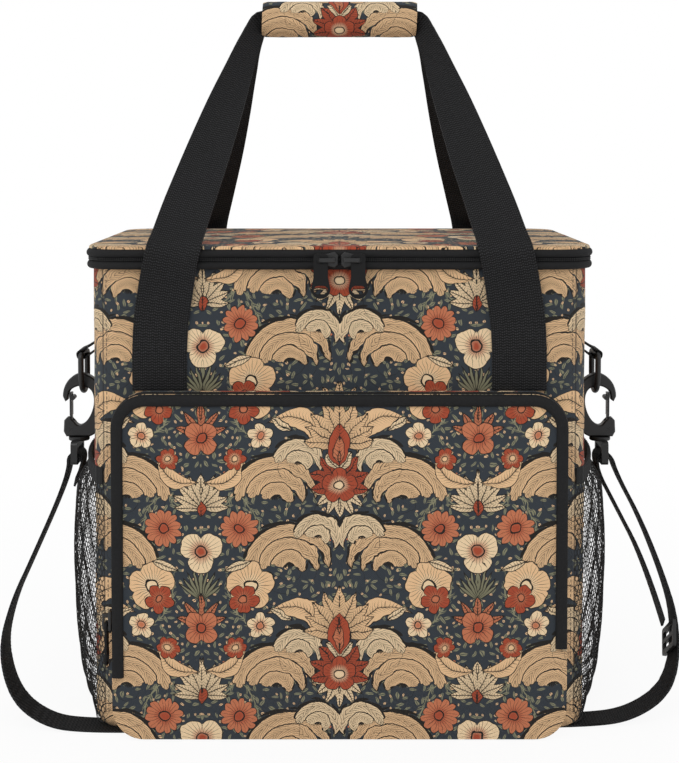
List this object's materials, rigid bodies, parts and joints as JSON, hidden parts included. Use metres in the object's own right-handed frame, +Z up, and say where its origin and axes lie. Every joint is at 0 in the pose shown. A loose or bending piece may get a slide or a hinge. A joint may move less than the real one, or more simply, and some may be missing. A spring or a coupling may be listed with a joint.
{
  "type": "insulated carrying bag",
  "caption": "Printed soft cooler bag with zipped lid, front pocket, net side pockets, two webbing handles joined by a grip wrap, and a shoulder strap on snap hooks.",
  "frame": {"origin": "middle of the bag's flat base, on the ground", "axes": "+Z up, -Y out of the front with the pocket, +X to the right as seen from the front"},
  "size_m": [0.4918, 0.2582, 0.5209],
  "materials": {
    "printed_fabric": "matte, woven, printed",
    "webbing": "matte, ribbed",
    "binding": "matte",
    "net": "matte",
    "zip_coil": "satin",
    "slider_metal": "satin",
    "pull_rubber": "matte",
    "foam": "matte",
    "liner": "satin",
    "board": "matte",
    "hardware": "satin",
    "gate_plastic": "satin"
  },
  "bodies": {
    "bag": {"base_board": "board", "base_panel": "printed_fabric", "foam_walls": "foam", "front_handle": "webbing", "front_panel": "printed_fabric", "grip_wrap": "printed_fabric", "inner_liner": "liner", "left_net_pocket": "net", "left_pocket_elastic": "binding", "left_side_panel": "printed_fabric", "left_side_tab": "webbing", "lid_cover": "printed_fabric", "lid_foam": "foam", "lid_hinge": "binding", "lid_liner": "liner", "lower_zip_tape": "binding", "main_zip_coil": "zip_coil", "pocket_binding": "binding", "pocket_gusset": "printed_fabric", "pocket_panel": "printed_fabric", "pocket_tape_front": "binding", "pocket_tape_rear": "binding", "pocket_zip_coil": "zip_coil", "rear_handle": "webbing", "rear_panel": "printed_fabric", "right_net_pocket": "net", "right_pocket_elastic": "binding", "right_side_panel": "printed_fabric", "right_side_tab": "webbing", "shoulder_strap": "webbing", "tri_glide": "hardware", "upper_zip_tape": "binding"},
    "slider_left": {"left_main_slider": "slider_metal"},
    "slider_right": {"right_main_slider": "slider_metal"},
    "pull_left": {"left_main_pull": "pull_rubber"},
    "pull_right": {"right_main_pull": "pull_rubber"},
    "slider_pocket": {"pocket_slider": "slider_metal"},
    "pull_pocket": {"pocket_pull": "pull_rubber"},
    "ring_left": {"left_d_ring": "hardware", "left_swivel_eye": "hardware"},
    "hook_left": {"left_snap_hook": "hardware"},
    "gate_left": {"left_hook_gate": "gate_plastic"},
    "ring_right": {"right_d_ring": "hardware", "right_swivel_eye": "hardware"},
    "hook_right": {"right_snap_hook": "hardware"},
    "gate_right": {"right_hook_gate": "gate_plastic"}
  },
  "joints": [
    {"name": "left_main_zip_slide", "type": "slide", "parent": "bag", "child": "slider_left", "axis": [-1, 0, 0], "range_m": [0, 0.052]},
    {"name": "left_main_pull_swing", "type": "hinge", "parent": "slider_left", "child": "pull_left", "pos_m": [-0.0129, -0.1238, 0.3326], "axis": [0, 1, 0], "range_deg": [-6, 100]},
    {"name": "right_main_zip_slide", "type": "slide", "parent": "bag", "child": "slider_right", "axis": [1, 0, 0], "range_m": [0, 0.052]},
    {"name": "right_main_pull_swing", "type": "hinge", "parent": "slider_right", "child": "pull_right", "pos_m": [0.0129, -0.1238, 0.3326], "axis": [0, -1, 0], "range_deg": [-6, 100]},
    {"name": "pocket_zip_slide", "type": "slide", "parent": "bag", "child": "slider_pocket", "axis": [0, 0, 1], "range_m": [0, 0.115]},
    {"name": "pocket_pull_swing", "type": "hinge", "parent": "slider_pocket", "child": "pull_pocket", "pos_m": [-0.1635, -0.1261, 0.0775], "axis": [-1, 0, 0], "range_deg": [-8, 100]},
    {"name": "left_ring_swing", "type": "hinge", "parent": "bag", "child": "ring_left", "pos_m": [-0.1963, 0, 0.2524], "axis": [0, 1, 0], "range_deg": [0, 55], "deforming": ["shoulder_strap"]},
    {"name": "left_hook_turn", "type": "hinge", "parent": "ring_left", "child": "hook_left", "pos_m": [-0.2005, 0, 0.19], "axis": [0, 0, 1], "range_deg": [-12, 12]},
    {"name": "left_gate_press", "type": "hinge", "parent": "hook_left", "child": "gate_left", "pos_m": [-0.2063, 0, 0.1937], "axis": [0, 1, 0], "range_deg": [0, 14], "stiffness_Nm_per_rad": 0.02},
    {"name": "right_ring_swing", "type": "hinge", "parent": "bag", "child": "ring_right", "pos_m": [0.1963, 0, 0.2524], "axis": [0, -1, 0], "range_deg": [0, 55], "deforming": ["shoulder_strap"]},
    {"name": "right_hook_turn", "type": "hinge", "parent": "ring_right", "child": "hook_right", "pos_m": [0.2005, 0, 0.19], "axis": [0, 0, 1], "range_deg": [-12, 12]},
    {"name": "right_gate_press", "type": "hinge", "parent": "hook_right", "child": "gate_right", "pos_m": [0.2063, 0, 0.1937], "axis": [0, -1, 0], "range_deg": [0, 14], "stiffness_Nm_per_rad": 0.02}
  ]
}
